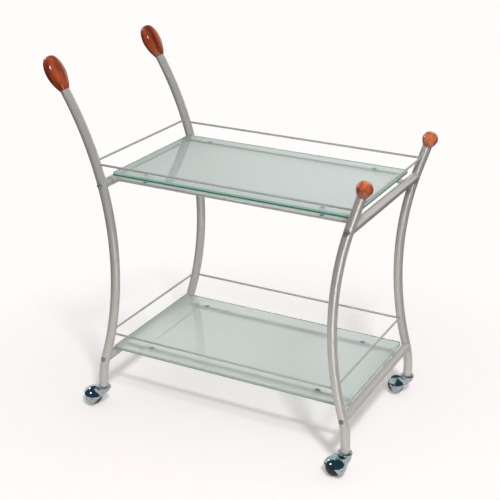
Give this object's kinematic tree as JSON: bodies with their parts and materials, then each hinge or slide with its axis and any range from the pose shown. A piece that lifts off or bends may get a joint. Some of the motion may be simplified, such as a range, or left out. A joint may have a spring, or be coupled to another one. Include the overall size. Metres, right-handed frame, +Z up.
{
  "type": "serving trolley",
  "caption": "Serving trolley with bowed tube legs, frosted glass shelves, rod guard rails, turned wooden push handles and end knobs, and swivelling ball casters.",
  "frame": {"origin": "on the floor, midway between the four feet (the axes of the legs' straight ends)", "axes": "+Z up; +X along the shelves towards the low end with the round knobs, so the tall push handles are at -X; -Y is the front side, which the picture's camera faces"},
  "size_m": [0.7983, 0.48, 0.8577],
  "materials": {
    "satin_silver_tube": "satin silver-grey enamel on steel tube",
    "bright_steel_rod": "satin bright steel rod",
    "frosted_glass": "frosted on the face, polished green edges",
    "clear_silicone": "clear silicone",
    "cherry_wood_handle": "dark cherry stain under gloss lacquer",
    "cherry_wood_knob": "cherry stain under gloss lacquer",
    "zinc_plated_steel": "bright zinc plating",
    "grey_nylon": "moulded nylon",
    "chrome_plating": "polished chrome",
    "black_rubber": "smooth black rubber"
  },
  "bodies": {
    "frame": {"front_left_leg": "satin_silver_tube", "back_left_leg": "satin_silver_tube", "front_right_leg": "satin_silver_tube", "back_right_leg": "satin_silver_tube", "upper_left_crossbar": "satin_silver_tube", "upper_right_crossbar": "satin_silver_tube", "upper_front_rail": "satin_silver_tube", "upper_back_rail": "satin_silver_tube", "upper_glass_shelf": "frosted_glass", "upper_glass_pads": "clear_silicone", "upper_front_guard_rod": "bright_steel_rod", "upper_back_guard_rod": "bright_steel_rod", "upper_left_guard_rod": "bright_steel_rod", "upper_right_guard_rod": "bright_steel_rod", "lower_left_crossbar": "satin_silver_tube", "lower_right_crossbar": "satin_silver_tube", "lower_front_rail": "satin_silver_tube", "lower_back_rail": "satin_silver_tube", "lower_glass_shelf": "frosted_glass", "lower_glass_pads": "clear_silicone", "lower_front_guard_rod": "bright_steel_rod", "lower_back_guard_rod": "bright_steel_rod", "lower_left_guard_rod": "bright_steel_rod", "lower_right_guard_rod": "bright_steel_rod", "front_push_handle": "cherry_wood_handle", "back_push_handle": "cherry_wood_handle", "front_end_knob": "cherry_wood_knob", "back_end_knob": "cherry_wood_knob", "crossbar_bolts": "zinc_plated_steel", "saddle_washers": "zinc_plated_steel", "crossbar_nuts": "zinc_plated_steel", "knob_studs": "zinc_plated_steel", "leg_top_plugs": "grey_nylon", "caster_sockets": "grey_nylon", "front_left_caster_stem": "chrome_plating", "front_right_caster_stem": "chrome_plating", "back_left_caster_stem": "chrome_plating", "back_right_caster_stem": "chrome_plating"},
    "front_left_swivel": {"front_left_caster_race": "chrome_plating", "front_left_caster_hood": "chrome_plating", "front_left_caster_axle": "chrome_plating"},
    "front_left_wheel": {"front_left_ball_wheel": "black_rubber"},
    "front_right_swivel": {"front_right_caster_race": "chrome_plating", "front_right_caster_hood": "chrome_plating", "front_right_caster_axle": "chrome_plating"},
    "front_right_wheel": {"front_right_ball_wheel": "black_rubber"},
    "back_left_swivel": {"back_left_caster_race": "chrome_plating", "back_left_caster_hood": "chrome_plating", "back_left_caster_axle": "chrome_plating"},
    "back_left_wheel": {"back_left_ball_wheel": "black_rubber"},
    "back_right_swivel": {"back_right_caster_race": "chrome_plating", "back_right_caster_hood": "chrome_plating", "back_right_caster_axle": "chrome_plating"},
    "back_right_wheel": {"back_right_ball_wheel": "black_rubber"}
  },
  "joints": [
    {"name": "front_left_swivel_turn", "type": "hinge", "parent": "frame", "child": "front_left_swivel", "pos_m": [-0.32, -0.205, 0.047], "axis": [0, 0, 1], "continuous": true},
    {"name": "front_left_wheel_roll", "type": "hinge", "parent": "front_left_swivel", "child": "front_left_wheel", "pos_m": [-0.34503, -0.21511, 0.021], "axis": [-0.3746, 0.9272, 0], "continuous": true},
    {"name": "front_right_swivel_turn", "type": "hinge", "parent": "frame", "child": "front_right_swivel", "pos_m": [0.32, -0.205, 0.047], "axis": [0, 0, 1], "continuous": true},
    {"name": "front_right_wheel_roll", "type": "hinge", "parent": "front_right_swivel", "child": "front_right_wheel", "pos_m": [0.30732, -0.22884, 0.021], "axis": [-0.8829, 0.4695, 0], "continuous": true},
    {"name": "back_left_swivel_turn", "type": "hinge", "parent": "frame", "child": "back_left_swivel", "pos_m": [-0.32, 0.205, 0.047], "axis": [0, 0, 1], "continuous": true},
    {"name": "back_left_wheel_roll", "type": "hinge", "parent": "back_left_swivel", "child": "back_left_wheel", "pos_m": [-0.34537, 0.19577, 0.021], "axis": [-0.342, 0.9397, 0], "continuous": true},
    {"name": "back_right_swivel_turn", "type": "hinge", "parent": "frame", "child": "back_right_swivel", "pos_m": [0.32, 0.205, 0.047], "axis": [0, 0, 1], "continuous": true},
    {"name": "back_right_wheel_roll", "type": "hinge", "parent": "back_right_swivel", "child": "back_right_wheel", "pos_m": [0.29463, 0.19577, 0.021], "axis": [-0.342, 0.9397, 0], "continuous": true}
  ]
}
